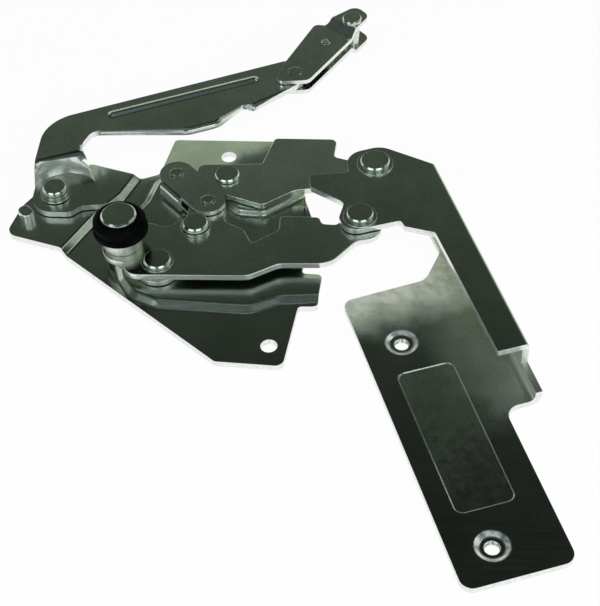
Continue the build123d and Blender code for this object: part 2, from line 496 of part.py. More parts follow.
bead_place = Pos((BEAD_FROM[0] + BEAD_TO[0]) / 2, (BEAD_FROM[1] + BEAD_TO[1]) / 2) * Rot(
    0, 0, bead_run.get_signed_angle(Vector(1, 0, 0), Vector(0, 0, -1)))
bead = extrude(SlotOverall(bead_run.length + BEAD_W, BEAD_W), BEAD_H, taper=BEAD_TAPER)
spring_arm += Pos(0, 0, arm_high_top) * bead_place * bead
spring_arm -= Pos(0, 0, arm_high_z) * bead_place * bead
spring_arm -= disc(ARM_PIVOT, ARM_PIVOT_R + RUNNING, 0, arm_high_top)
spring_arm -= disc(ARM_END_PIN, PIVOT_R + RUNNING, 0, arm_high_top)
parts["spring_arm"] = spring_arm

# Pull link: two joggled cheeks riveted round the blade's end, spread into a fork for the spring's hook
pull_face = rounded(
    near(ARM_END_PIN, -6.4, -5.4, 2.0), near(ARM_END_PIN, 4.6, -4.4, 3.0), near(SPRING_PIN, 0.8, -5.2, 1.5),
    near(SPRING_PIN, 5.6, 2.8, 3.0), near(SPRING_PIN, 1.0, 8.0, 3.0), near(SPRING_PIN, -8.2, 0.4, 2.0),
    near(SPRING_PIN, -12.4, 1.0, 2.0), near(ARM_END_PIN, -3.6, 4.4, 3.0))
axis_run = Vector(SPRING_PIN[0] - ARM_END_PIN[0], SPRING_PIN[1] - ARM_END_PIN[1])
axis_turn = axis_run.get_signed_angle(Vector(1, 0, 0), Vector(0, 0, -1))
cheek_upper_z = arm_high_top + PULL_PLAY
cheek_lower_z = arm_high_z - PULL_PLAY - PULL_T
spread = (FORK_GAP - (cheek_upper_z - cheek_lower_z - PULL_T)) / 2
fold_from = axis_run.length - FORK_FOLD_BACK


def cheek(z, lift):
    """Cheek of the pull link: flat at the blade, then folded by lift to the fork."""
    run = axis_run.length
    line = Polyline(
        (-run, z), (fold_from, z), (fold_from + FORK_FOLD_RUN, z + lift), (2 * run, z + lift),
        (2 * run, z + lift + PULL_T), (fold_from + FORK_FOLD_RUN, z + lift + PULL_T), (fold_from, z + PULL_T),
        (-run, z + PULL_T), close=True)
    strip = extrude(Plane(origin=(0, run, 0), x_dir=(1, 0, 0), z_dir=(0, -1, 0)) * make_face(line), 2 * run)
    strip = Pos(*ARM_END_PIN) * Rot(0, 0, axis_turn) * strip
    body = strip & extrude(pull_face, 2 * arm_high_top)
    for pin, radius in ((ARM_END_PIN, PIVOT_R), (FORK_RIVET, FORK_RIVET_R), (SPRING_PIN, SPRING_PIN_R)):
        body -= disc(pin, radius, 0, 2 * arm_high_top)
    return body


parts["pull_cheek_upper"] = cheek(cheek_upper_z, spread)
parts["pull_cheek_lower"] = cheek(cheek_lower_z, -spread)
cheek_top = cheek_upper_z + PULL_T
parts["pull_rivet"] = turned(
    ARM_END_PIN, (PIVOT_R, cheek_lower_z), (PIVOT_R, cheek_top - EDGE_R), (PIVOT_R - EDGE_R, cheek_top))
parts["fork_rivet"] = turned(
    FORK_RIVET, (FORK_RIVET_R, cheek_lower_z), (FORK_RIVET_R, cheek_top),
    (FORK_RIVET_R - EDGE_R, cheek_top + EDGE_R), (FORK_RIVET_BORE, cheek_top + EDGE_R),
    (FORK_RIVET_BORE - EDGE_R, cheek_top - PULL_T / 2))
parts["fork_spacer"] = ring(FORK_RIVET, FORK_RIVET_R + FORK_SPACER_WALL, FORK_RIVET_R, cheek_lower_z + PULL_T,
                            cheek_upper_z - cheek_lower_z - PULL_T)
fork_top = cheek_top + spread
spring_head_r = SPRING_PIN_R + SPRING_HEAD_OVER
parts["spring_pin"] = turned(
    SPRING_PIN, (SPRING_PIN_R, cheek_lower_z - spread), (SPRING_PIN_R, fork_top), (spring_head_r, fork_top),
    (spring_head_r, fork_top + SPRING_HEAD_H - EDGE_R), (spring_head_r - EDGE_R, fork_top + SPRING_HEAD_H))

os.makedirs("parts", exist_ok=True)
for name, solid in parts.items():
    export_step(solid, f"parts/{name}.step")
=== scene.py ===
import json
import math
import bmesh
import bpy
import numpy as np
from mathutils import Matrix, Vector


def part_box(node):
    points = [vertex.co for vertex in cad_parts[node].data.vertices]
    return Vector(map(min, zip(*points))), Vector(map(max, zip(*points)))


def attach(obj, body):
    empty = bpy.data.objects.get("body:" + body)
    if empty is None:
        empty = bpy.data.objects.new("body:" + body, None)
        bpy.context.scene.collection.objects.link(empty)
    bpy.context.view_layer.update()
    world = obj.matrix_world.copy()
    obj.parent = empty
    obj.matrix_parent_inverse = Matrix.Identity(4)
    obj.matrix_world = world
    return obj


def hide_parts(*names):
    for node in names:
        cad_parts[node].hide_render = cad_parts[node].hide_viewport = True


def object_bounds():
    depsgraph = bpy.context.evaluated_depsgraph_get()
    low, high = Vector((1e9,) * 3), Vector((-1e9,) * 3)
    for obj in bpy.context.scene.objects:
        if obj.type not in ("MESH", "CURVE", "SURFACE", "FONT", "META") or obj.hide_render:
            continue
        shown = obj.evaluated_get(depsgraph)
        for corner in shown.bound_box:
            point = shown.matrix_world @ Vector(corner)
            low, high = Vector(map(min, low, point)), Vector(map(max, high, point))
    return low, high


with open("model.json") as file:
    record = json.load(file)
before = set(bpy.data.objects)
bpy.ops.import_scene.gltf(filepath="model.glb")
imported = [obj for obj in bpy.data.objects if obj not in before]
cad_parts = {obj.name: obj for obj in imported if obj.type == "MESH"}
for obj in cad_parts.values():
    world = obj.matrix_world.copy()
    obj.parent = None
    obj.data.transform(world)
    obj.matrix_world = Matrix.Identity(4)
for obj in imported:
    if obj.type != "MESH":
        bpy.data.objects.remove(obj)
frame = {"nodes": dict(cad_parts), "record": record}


# Base plate: a pressed sheet of cold-rolled steel that screws to the machine's side frame.
# It is zinc plated after pressing, so its faces are a smooth grey-green and its sheared edges shine.
MM = 0.001
nodes = frame["nodes"]
solid_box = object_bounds()


def feed(tree, socket, value):
    """Gives a socket its value: a link where the value is another socket, or else the plain value itself."""
    if isinstance(value, bpy.types.NodeSocket):
        tree.links.new(value, socket)
    else:
        socket.default_value = value


def noise(tree, vector, scale, detail=2.0, roughness=0.5):
    """Cloudy noise over a vector, about 0.5 in the mean, with so many clouds to a metre."""
    node = tree.nodes.new("ShaderNodeTexNoise")
    node.inputs["Scale"].default_value = scale
    node.inputs["Detail"].default_value = detail
    node.inputs["Roughness"].default_value = roughness
    tree.links.new(vector, node.inputs["Vector"])
    return node.outputs["Fac"]


def span(tree, value, start, end, low=0.0, high=1.0, soft=False):
    """Carries a value's run from start to end over to low to high, and holds it beyond them."""
    node = tree.nodes.new("ShaderNodeMapRange")
    node.interpolation_type = "SMOOTHSTEP" if soft else "LINEAR"
    feed(tree, node.inputs["Value"], value)
    feed(tree, node.inputs["From Min"], start)
    feed(tree, node.inputs["From Max"], end)
    feed(tree, node.inputs["To Min"], low)
    feed(tree, node.inputs["To Max"], high)
    return node.outputs["Result"]


def reckon(tree, operation, *values):
    """One step of arithmetic on sockets or numbers."""
    node = tree.nodes.new("ShaderNodeMath")
    node.operation = operation
    for socket, value in zip(node.inputs, values):
        feed(tree, socket, value)
    return node.outputs["Value"]


def blend(tree, kind, share, under, over):
    """The value under where the share is 0, and the value over where it is 1. The kind is Color or Float."""
    mix = tree.nodes.new("ShaderNodeMix")
    mix.data_type = "RGBA" if kind == "Color" else "FLOAT"
    sockets = {socket.identifier: socket for socket in (*mix.inputs, *mix.outputs)}
    feed(tree, sockets["Factor_Float"], share)
    feed(tree, sockets["A_" + kind], under)
    feed(tree, sockets["B_" + kind], over)
    return sockets["Result_" + kind]


def two_tones(tree, value, start, first, end, second):
    """The first tone up to the start of a value's run, the second from its end, and an even run between."""
    ramp = tree.nodes.new("ShaderNodeValToRGB")
    for element, at, tone in zip(ramp.color_ramp.elements, (start, end), (first, second)):
        element.position = at
        element.color = (*tone, 1.0)
    tree.links.new(value, ramp.inputs["Fac"])
    return ramp.outputs["Color"]


# Pale, less metallic tone of upright faces: partly the matt finish of sheared edges, partly a painted sheen.
CUT_AND_SHEEN_TONE = (0.84, 0.85, 0.83, 1.0)
CUT_AND_SHEEN_METAL = 0.80


def zinc_plate(name, tone, roll_turn=0.0, gloss=0.20, fleck=1.0, cut_and_sheen=1.0):
    """Zinc on rolled sheet: clouds and fine flecks shade the tone, and lines along the rolling set its gloss.
    Upright faces are paler and less like a mirror, by a given share: partly the sheared edges' matt finish,
    partly a painted sheen that also falls on upright faces that were never sheared."""
    material = bpy.data.materials.new(name)
    material.use_nodes = True
    tree = material.node_tree
    shader = tree.nodes["Principled BSDF"]
    place = tree.nodes.new("ShaderNodeTexCoord")
    rolling = tree.nodes.new("ShaderNodeMapping")
    rolling.inputs["Rotation"].default_value = (0.0, 0.0, math.radians(roll_turn))
    rolling.inputs["Scale"].default_value = (70.0, 2600.0, 70.0)
    tree.links.new(place.outputs["Object"], rolling.inputs["Vector"])
    clouds = noise(tree, place.outputs["Object"], scale=70.0, detail=5.0, roughness=0.62)
    lines = noise(tree, rolling.outputs["Vector"], scale=1.0)
    flecks = noise(tree, place.outputs["Object"], scale=1500.0, detail=3.0)

    dark = [channel * 0.86 for channel in tone]
    pale = [min(channel * 1.10, 1.0) for channel in tone]
    shade = two_tones(tree, clouds, 0.32, dark, 0.70, pale)
    normal = tree.nodes.new("ShaderNodeSeparateXYZ")
    tree.links.new(place.outputs["Normal"], normal.inputs["Vector"])
    # Share of each face that takes the pale tone, by how upright it is: the sheared edges' own finish, with
    # painted sheen.
    sheared_and_sheen = span(tree, reckon(tree, "ABSOLUTE", normal.outputs["Z"]), 0.20, 0.55, low=cut_and_sheen, high=0.0)
    flecked = tree.nodes.new("ShaderNodeVectorMath")
    flecked.operation = "SCALE"
    feed(tree, flecked.inputs[0], blend(tree, "Color", sheared_and_sheen, shade, CUT_AND_SHEEN_TONE))
    feed(tree, flecked.inputs["Scale"], span(tree, flecks, 0.30, 0.70, low=0.90, high=1.10))
    feed(tree, shader.inputs["Base Color"], flecked.outputs["Vector"])
    feed(tree, shader.inputs["Metallic"], span(tree, sheared_and_sheen, 0.0, 1.0, low=1.0, high=CUT_AND_SHEEN_METAL))
    matt = span(tree, lines, 0.25, 0.75, low=gloss - 0.02, high=gloss + 0.03)
    feed(tree, shader.inputs["Roughness"], matt)
    relief = reckon(tree, "ADD", flecks, lines)
    relief.node.name = "relief"
    bump = tree.nodes.new("ShaderNodeBump")
    bump.inputs["Strength"].default_value = 0.08 * fleck
    bump.inputs["Distance"].default_value = 0.03 * MM
    feed(tree, bump.inputs["Height"], relief)
    feed(tree, shader.inputs["Normal"], bump.outputs["Normal"])
    return material


def edge_facts(mesh):
    """Middle of each edge in mm, and the angle in degrees between the normals of the two faces beside it."""
    loop_edge = np.empty(len(mesh.loops), np.int32)
    mesh.loops.foreach_get("edge_index", loop_edge)
    loop_count = np.empty(len(mesh.polygons), np.int32)
    mesh.polygons.foreach_get("loop_total", loop_count)
    normal = np.empty(len(mesh.polygons) * 3)
    mesh.polygons.foreach_get("normal", normal)
    normal = normal.reshape(-1, 3)[np.repeat(np.arange(len(loop_count)), loop_count)]
    order = np.argsort(loop_edge, kind="stable")
    start = np.unique(loop_edge[order], return_index=True)[1]
    end = np.append(start[1:], len(order)) - 1
    match = (normal[order[start]] * normal[order[end]]).sum(axis=1)
    place = np.empty(len(mesh.vertices) * 3)
    mesh.vertices.foreach_get("co", place)
    ends = np.empty(len(mesh.edges) * 2, np.int32)
    mesh.edges.foreach_get("vertices", ends)
    middle = place.reshape(-1, 3)[ends.reshape(-1, 2)].mean(axis=1) / MM
    return middle, np.degrees(np.arccos(np.clip(match, -1.0, 1.0)))


MERGE_GAP = 0.003
FLAT_ANGLE = 0.4
SMOOTH_ANGLE = 34.0
ARRIS_ANGLE = 40.0


def dress_sheet(node, body, material, edge=0.2, fold=0.0, folded=None):
    """A sheet's solid, merged and dressed: folded edges get a bend of fold mm, and sheared arrises are broken
    by a bevel of edge mm. The function folded gives each edge its share of bend by its middle and angle."""
    form = bmesh.new()
    form.from_mesh(nodes[node].data)
    bmesh.ops.remove_doubles(form, verts=form.verts, dist=MERGE_GAP * MM)
    flat = math.radians(FLAT_ANGLE)
    bmesh.ops.dissolve_limit(form, angle_limit=flat, verts=form.verts, edges=form.edges)
    mesh = bpy.data.meshes.new(node + "_sheet")
    form.to_mesh(mesh)
    form.free()
    mesh.polygons.foreach_set("use_smooth", np.ones(len(mesh.polygons), bool))
    mesh.set_sharp_from_angle(angle=math.radians(SMOOTH_ANGLE))
    mesh.materials.clear()
    mesh.materials.append(material)
    piece = bpy.data.objects.new(node + "_sheet", mesh)
    bpy.context.scene.collection.objects.link(piece)
    if folded is not None:
        weight = mesh.attributes.new("bevel_weight_edge", "FLOAT", "EDGE")
        weight.data.foreach_set("value", folded(*edge_facts(mesh)).astype(np.float32))
        bend = piece.modifiers.new("folds", "BEVEL")
        bend.width = fold * MM
        bend.segments = 4
        bend.limit_method = "WEIGHT"
        bend.use_clamp_overlap = False
    bevel = piece.modifiers.new("broken_edges", "BEVEL")
    bevel.width = edge * MM
    bevel.segments = 3
    bevel.limit_method = "ANGLE"
    bevel.angle_limit = math.radians(ARRIS_ANGLE)
    level = piece.modifiers.new("flat_faces", "WEIGHTED_NORMAL")
    level.mode = "FACE_AREA"
    level.weight = 100
    level.keep_sharp = False
    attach(piece, body)
    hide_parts(node)


RAMP_ANGLES = (25.0, 65.0)


def pressed_fold(middle, angle):
    """Folds of a pressing: the edges between a flat and a ramp, whose faces turn by a ramp's angle."""
    return np.where((angle > RAMP_ANGLES[0]) & (angle < RAMP_ANGLES[1]), 1.0, 0.0)


BASE_TONE = (0.50, 0.57, 0.47)
base_zinc = zinc_plate("zinc_base", BASE_TONE, roll_turn=12.0)
dress_sheet("base_plate", "base", base_zinc, edge=0.32, fold=0.5, folded=pressed_fold)


# Pivot rivets of the base: turned steel studs whose tails are headed over in the hollows of the pressing.
# The spring arm's pivot has a second, narrower head on a thin washer, and the toggle's rivet is flush.
def axis_of(node):
    """Plan centre of a node's box in mm, and its lowest and highest level in mm."""
    low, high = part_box(node)
    return ((low.x + high.x) / 2 / MM, (low.y + high.y) / 2 / MM), low.z / MM, high.z / MM


def soft_profile(corners, radius, steps=5, side_share=0.45, hold=0.04):
    """Profile of a turned piece from (r, z) corners in mm: each inner corner becomes a curve tangent to its
    two sides, no larger than the shorter side allows, with a point held just before and after each curve."""
    corners = np.array(corners, float)
    points = [corners[:1]]
    for before, tip, after in zip(corners[:-2], corners[1:-1], corners[2:]):
        back = (before - tip) / np.linalg.norm(before - tip)
        ahead = (after - tip) / np.linalg.norm(after - tip)
        half = np.arccos(np.clip(back @ ahead, -1.0, 1.0)) / 2
        room = side_share * min(np.linalg.norm(before - tip), np.linalg.norm(after - tip))
        run = min(radius / np.tan(half), room)
        beyond = min(hold, room / 9)
        share = np.linspace(0.0, 1.0, steps)[:, None]
        start = tip + back * run
        end = tip + ahead * run
        curve = (1 - share) ** 2 * start + 2 * share * (1 - share) * tip + share ** 2 * end
        points.append(np.vstack([start + back * beyond, curve, end + ahead * beyond]))
    points.append(corners[-1:])
    return np.vstack(points)


def turned_mesh(name, profile, centre, count=96):
    """Surface of revolution: the profile's radius turned round the upright axis through the centre, in mm.
    The profile runs from the lowest pole to the highest, so faces point outwards."""
    turn = np.linspace(0.0, 2 * np.pi, count, endpoint=False)
    radius, level = profile[1:-1, 0], profile[1:-1, 1]
    x = centre[0] + radius[:, None] * np.cos(turn)
    y = centre[1] + radius[:, None] * np.sin(turn)
    z = np.repeat(level[:, None], count, axis=1)
    rings = np.stack([x, y, z], axis=-1).reshape(-1, 3)
    poles = np.array([[centre[0], centre[1], profile[0, 1]], [centre[0], centre[1], profile[-1, 1]]])
    low = np.arange(count)
    step = np.roll(low, -1)
    row = (np.arange(len(radius) - 1) * count)[:, None]
    quads = np.stack([row + low, row + step, row + count + step, row + count + low], axis=-1)
    top = (len(radius) - 1) * count
    foot = len(rings)
    caps = np.vstack([np.stack([np.full(count, foot), step, low], axis=-1),
                      np.stack([top + low, top + step, np.full(count, foot + 1)], axis=-1)])
    verts = np.vstack([rings, poles]) * MM
    mesh = bpy.data.meshes.new(name)
    mesh.from_pydata(verts.tolist(), [], quads.reshape(-1, 4).tolist() + caps.tolist())
    mesh.polygons.foreach_set("use_smooth", np.ones(len(mesh.polygons), bool))
    mesh.update()
    return mesh


def off_axis(tree, vector, centre):
    """Distance in plan from the upright axis through a centre in mm."""
    plan = tree.nodes.new("ShaderNodeVectorMath")
    plan.operation = "MULTIPLY"
    plan.inputs[1].default_value = (1.0, 1.0, 0.0)
    away = tree.nodes.new("ShaderNodeVectorMath")
    away.operation = "DISTANCE"
    away.inputs[1].default_value = (centre[0] * MM, centre[1] * MM, 0.0)
    tree.links.new(vector, plan.inputs[0])
    tree.links.new(plan.outputs["Vector"], away.inputs[0])
    return away.outputs["Value"]


def turned_zinc(name, centre, tone, gloss=0.17):
    """Zinc on turned steel: as on sheet, but fine rings about the pin's own axis take the place of lines."""
    # The pin's upright sides take a share of the pale tone as a painted highlight, as a turned piece has no
    # sheared edge.
    material = zinc_plate(name, tone, gloss=gloss, fleck=0.5, cut_and_sheen=0.45)
    tree = material.node_tree
    place = tree.nodes.new("ShaderNodeTexCoord")
    rings = tree.nodes.new("ShaderNodeTexNoise")
    rings.noise_dimensions = "1D"
    rings.inputs["Scale"].default_value = 5200.0
    rings.inputs["Detail"].default_value = 2.0
    tree.links.new(off_axis(tree, place.outputs["Object"], centre), rings.inputs["W"])
    tree.links.new(rings.outputs["Fac"], tree.nodes["relief"].inputs[1])
    return material


def turned_piece(node, corners, material, body, soft=0.14):
    """A turned piece in place of its plain solid, on the solid's own axis."""
    mesh = turned_mesh(node + "_turned", soft_profile(corners, soft), axis_of(node)[0])
    mesh.materials.append(material)
    piece = bpy.data.objects.new(node + "_turned", mesh)
    bpy.context.scene.collection.objects.link(piece)
    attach(piece, body)
    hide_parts(node)
    return piece


TAIL_H = 1.3
TAIL_OVER = 1.5
HEAD_H = 1.4
HEAD_EASE_H = 0.5
HEAD_EASE_W = 0.4
GROOVE = 0.3
HOLLOW = 0.12


def upset_tail(shank, wide, foot):
    """Foot of a rivet: the corners of a tail headed over wider than the shank, up to the shank."""
    return [(0, foot), (wide, foot), (wide, foot + TAIL_H), (shank, foot + TAIL_H)]


def eased_head(radius, top):
    """Top of a flat head: the corners of a small chamfer, then the middle."""
    return [(radius, top - HEAD_EASE_H), (radius - HEAD_EASE_W, top), (0, top)]


def stepped_head(shank, wide, narrow, slope, top):
    """A head in two steps: from the shank out to the wide step, in over a slope, and up the narrow step."""
    return [(shank, top - 2 * HEAD_H), (wide, top - 2 * HEAD_H), (wide, top - HEAD_H - slope),
            (narrow, top - HEAD_H)] + eased_head(narrow, top)


def flush_head(radius, top):
    """Top of a flush rivet: an eased rim, and a shallow hollow inside it."""
    return [(radius, top - GROOVE), (radius - GROOVE, top), (radius - 3 * GROOVE, top),
            (radius - 4 * GROOVE, top - HOLLOW), (0, top - HOLLOW)]


PIN_TONE = (0.51, 0.58, 0.47)
PIVOT_R = 2.4
spot, foot, top = axis_of("toggle_pivot_rivet")
turned_piece("toggle_pivot_rivet",
             upset_tail(PIVOT_R, PIVOT_R + TAIL_OVER, foot) + flush_head(PIVOT_R, top),
             turned_zinc("zinc_toggle_rivet", spot, PIN_TONE), "base", soft=0.1)
UPPER_HEAD_R = 3.75
spot, foot, top = axis_of("upper_pivot_rivet")
turned_piece("upper_pivot_rivet",
             upset_tail(PIVOT_R, PIVOT_R + TAIL_OVER, foot)
             + [(PIVOT_R, top - HEAD_H), (UPPER_HEAD_R, top - HEAD_H)] + eased_head(UPPER_HEAD_R, top),
             turned_zinc("zinc_upper_rivet", spot, PIN_TONE), "base")
ARM_PIVOT_R = 3.0
ARM_HEAD_R = 4.1
ARM_TOP_R = 3.6
ARM_SLOPE = 0.2
spot, foot, top = axis_of("arm_pivot_rivet")
turned_piece("arm_pivot_rivet",
             upset_tail(ARM_PIVOT_R, ARM_PIVOT_R + TAIL_OVER, foot)
             + stepped_head(ARM_PIVOT_R, ARM_HEAD_R, ARM_TOP_R, ARM_SLOPE, top),
             turned_zinc("zinc_arm_rivet", spot, PIN_TONE), "base")
dress_sheet("arm_pivot_washer", "base", zinc_plate("zinc_arm_washer", PIN_TONE), edge=0.12)


# Toggle: a little channel folded from thin sheet, which holds the base's rivet and the lower link's ear.
# Its pin is headed flush, so only a fine ring shows on the upper flange.
TOGGLE_TONE = (0.65, 0.73, 0.62)
dress_sheet("toggle_link", "toggle", zinc_plate("zinc_toggle", TOGGLE_TONE, roll_turn=-47.0), edge=0.30)
spot, foot, top = axis_of("toggle_pin")
turned_piece("toggle_pin", [(0, foot), (PIVOT_R, foot)] + flush_head(PIVOT_R, top),
             turned_zinc("zinc_toggle_pin", spot, PIN_TONE), "toggle", soft=0.1)


# Lower link and its doubler: two blanked sheets riveted together under the bumper.
# The link carries the door arm, and a stepped guide pin that runs in a slot of the base.
DOUBLER_TONE = (0.58, 0.65, 0.54)
LOWER_LINK_TONE = (0.57, 0.65, 0.53)
dress_sheet("reinforcing_plate", "lower_link", zinc_plate("zinc_doubler", DOUBLER_TONE))
lower_link_zinc = zinc_plate("zinc_lower_link", LOWER_LINK_TONE, roll_turn=4.0)
dress_sheet("lower_link", "lower_link", lower_link_zinc, edge=0.26)
RING_R = 4.65
RING_H = 0.3
RIVET_HEAD_R = 4.0
spot, foot, top = axis_of("link_rivet")
ring_top = top - HEAD_H + RING_H
turned_piece("link_rivet",
             [(0, foot), (PIVOT_R, foot), (PIVOT_R, top - HEAD_H), (RING_R, top - HEAD_H), (RING_R, ring_top),
              (RIVET_HEAD_R, ring_top)] + eased_head(RIVET_HEAD_R, top),
             turned_zinc("zinc_link_rivet", spot, PIN_TONE), "lower_link")
GUIDE_HEAD_R = 4.5
GUIDE_TOP_R = 3.8
GUIDE_SLOPE = 0.25
spot, foot, top = axis_of("guide_pin")
turned_piece("guide_pin",
             [(0, foot), (PIVOT_R, foot)]
             + stepped_head(PIVOT_R, GUIDE_HEAD_R, GUIDE_TOP_R, GUIDE_SLOPE, top),
             turned_zinc("zinc_guide_pin", spot, PIN_TONE), "lower_link")
dress_sheet("guide_washer", "lower_link", zinc_plate("zinc_guide_washer", PIN_TONE), edge=0.15)


# Bumper: a moulded ring of black rubber on a zinc spacer, held by a headed stud through the lower link.
# The rubber has a wider foot under a fine waist groove, and its upper corner is well rounded.
def moulded_rubber(name):
    """Black rubber: a near-black tone with grey bloom in soft clouds, and a fine pebbled surface."""
    material = bpy.data.materials.new(name)
    material.use_nodes = True
    tree = material.node_tree
    shader = tree.nodes["Principled BSDF"]
    shader.inputs["Specular IOR Level"].default_value = 0.015
    place = tree.nodes.new("ShaderNodeTexCoord")
    paleness = noise(tree, place.outputs["Object"], scale=260.0, detail=4.0)
    tone = two_tones(tree, paleness, 0.40, (0.0012, 0.0018, 0.0015), 0.78, (0.005, 0.006, 0.0055))
    bump = tree.nodes.new("ShaderNodeBump")
    bump.inputs["Strength"].default_value = 0.25
    bump.inputs["Distance"].default_value = 0.04 * MM
    feed(tree, bump.inputs["Height"], noise(tree, place.outputs["Object"], scale=3000.0))
    feed(tree, shader.inputs["Base Color"], tone)
    feed(tree, shader.inputs["Roughness"], span(tree, paleness, 0.0, 1.0, low=0.42, high=0.58))
    feed(tree, shader.inputs["Normal"], bump.outputs["Normal"])
    return material


SPACER_R = 5.6
SPACER_TONE = (0.74, 0.75, 0.68)
spot, foot, top = axis_of("bumper_spacer")
turned_piece("bumper_spacer", [(0, foot), (SPACER_R, foot), (SPACER_R, top), (0, top)],
             turned_zinc("zinc_spacer", spot, SPACER_TONE, gloss=0.46), "lower_link", soft=0.25)
BUMPER_R = 7.7
FOOT_OVER = 0.35
FOOT_H = 2.1
FOOT_EASE = 0.6
WAIST = 0.3
CROWN_H = 1.2
CROWN_W = 1.4
spot, foot, top = axis_of("rubber_bumper")
foot_top = foot + FOOT_H
rubber = turned_piece("rubber_bumper", [
    (0, foot), (BUMPER_R - FOOT_EASE, foot), (BUMPER_R + FOOT_OVER, foot + FOOT_EASE),
    (BUMPER_R + FOOT_OVER, foot_top), (BUMPER_R - WAIST, foot_top + WAIST), (BUMPER_R, foot_top + 3 * WAIST),
    (BUMPER_R, top - CROWN_H), (BUMPER_R - CROWN_W, top), (0, top)],
    moulded_rubber("bumper_rubber"), "lower_link", soft=0.7)
STUD_R = 2.5
CAP_R = 5.2
CAP_H = 1.1
CAP_EASE = 0.55
spot, foot, top = axis_of("bumper_stud")
turned_piece("bumper_stud", [
    (0, foot), (STUD_R, foot), (STUD_R, top - CAP_H), (CAP_R, top - CAP_H), (CAP_R, top - CAP_EASE),
    (CAP_R - CAP_EASE, top), (0, top)],
    turned_zinc("zinc_stud", spot, PIN_TONE), "lower_link", soft=0.22)


# Upper link: a flat lever blanked from zinc plated sheet, beside the lower link.
# It rocks on a rivet of the base and guides the door arm's upper pin.
UPPER_LINK_TONE = (0.68, 0.75, 0.62)
upper_link_zinc = zinc_plate("zinc_upper_link", UPPER_LINK_TONE, roll_turn=-8.0, cut_and_sheen=0.2)
dress_sheet("upper_link", "upper_link", upper_link_zinc, edge=0.14)


# Door arm: one heavy sheet folded to a channel, with a long flange that takes two screws of the door.
# The screw holes are dished collars tapped through, and the flange has a shallow sunk panel.
# Its material paints a pale reflection in the sheltered parts, with a satin roughness there, and a painted
# highlight ring on the collars' walls.
def door_axes(tree, pivot, turn):
    """The door's own axes: the piece's coordinates from a pivot in mm, turned back by the door's turn."""
    place = tree.nodes.new("ShaderNodeTexCoord")
    door = tree.nodes.new("ShaderNodeMapping")
    c, s = math.cos(turn), math.sin(turn)
    x, y = pivot[0] * MM, pivot[1] * MM
    door.inputs["Location"].default_value = (-(c * x + s * y), -(c * y - s * x), 0.0)
    door.inputs["Rotation"].default_value = (0.0, 0.0, -turn)
    axes = tree.nodes.new("ShaderNodeSeparateXYZ")
    tree.links.new(place.outputs["Object"], door.inputs["Vector"])
    tree.links.new(door.outputs["Vector"], axes.inputs["Vector"])
    return place.outputs, axes.outputs


def lay_over(tree, socket, value, share):
    """Lays a value over what feeds a socket of the shader, by a share."""
    held = tree.nodes["Principled BSDF"].inputs[socket]
    kind = "Color" if socket == "Base Color" else "Float"
    feed(tree, held, blend(tree, kind, share, held.links[0].from_socket, value))


# Where the pale painted reflection lies, in the door's own axes, in mm.
PAINTED_LIGHT_BY_WALL = (-1.0, 21.5)
PAINTED_LIGHT_BY_PIVOTS = (-40.0, -24.5)
PAINTED_LIGHT_ALONG = (-85.0, -56.0)
PAINTED_LIGHT_RAGGED = 12.0
CHANNEL_MIDDLE = 8.1
SHELTERED_SHARE = 0.16
UPRIGHT_SHARE = 0.08


def channel_light_and_satin(material, pivot, turn):
    """Painted reflection: a pale, less metallic tone painted in the sheltered side of the channel and on the
    flange's far end, with a satin roughness there.
    In the door's own axes it grows across the flange towards the wall, and along it towards the pivots."""
    tree = material.node_tree
    place, axes = door_axes(tree, pivot, turn)
    ragged = noise(tree, place["Object"], scale=75.0, detail=3.0)
    shares = []
    for axis, (start, end) in (("X", PAINTED_LIGHT_BY_WALL), ("Y", PAINTED_LIGHT_BY_PIVOTS), ("Y", PAINTED_LIGHT_ALONG)):
        shifted = reckon(tree, "MULTIPLY_ADD", ragged, PAINTED_LIGHT_RAGGED * MM, axes[axis])
        mean = PAINTED_LIGHT_RAGGED / 2
        shares.append(span(tree, shifted, (start + mean) * MM, (end + mean) * MM, soft=True))
    by_wall, by_pivots, along = shares
    sheltered = reckon(tree, "MULTIPLY", by_wall, along)
    below = reckon(tree, "LESS_THAN", axes["Z"], CHANNEL_MIDDLE * MM)
    normal = tree.nodes.new("ShaderNodeSeparateXYZ")
    tree.links.new(place["Normal"], normal.inputs["Vector"])
    lying = reckon(tree, "MULTIPLY", below, span(tree, normal.outputs["Z"], 0.0, 1.0, low=UPRIGHT_SHARE))
    # Share of the pale painted reflection, weaker on upright faces.
    paleness = reckon(tree, "MAXIMUM", reckon(tree, "MULTIPLY", sheltered, SHELTERED_SHARE), by_pivots)
    pale = reckon(tree, "MULTIPLY", paleness, lying)
    satin = reckon(tree, "MULTIPLY", reckon(tree, "MAXIMUM", sheltered, by_pivots), below)
    # Tone of the painted reflection: pale olive, mottled by noise.
    light_mottle = noise(tree, place["Object"], scale=240.0, detail=6.0, roughness=0.62)
    painted_light_tone = two_tones(tree, light_mottle, 0.28, (0.54, 0.56, 0.44), 0.56, (0.92, 0.95, 0.79))
    lay_over(tree, "Base Color", painted_light_tone, pale)
    lay_over(tree, "Roughness", 0.52, satin)
    lay_over(tree, "Metallic", 0.40, pale)


PANEL_MIDDLE = (2.1, -76.5)
PANEL_HALF = (8.0, 24.2)
PANEL_RISE = (-98.0, -54.0)


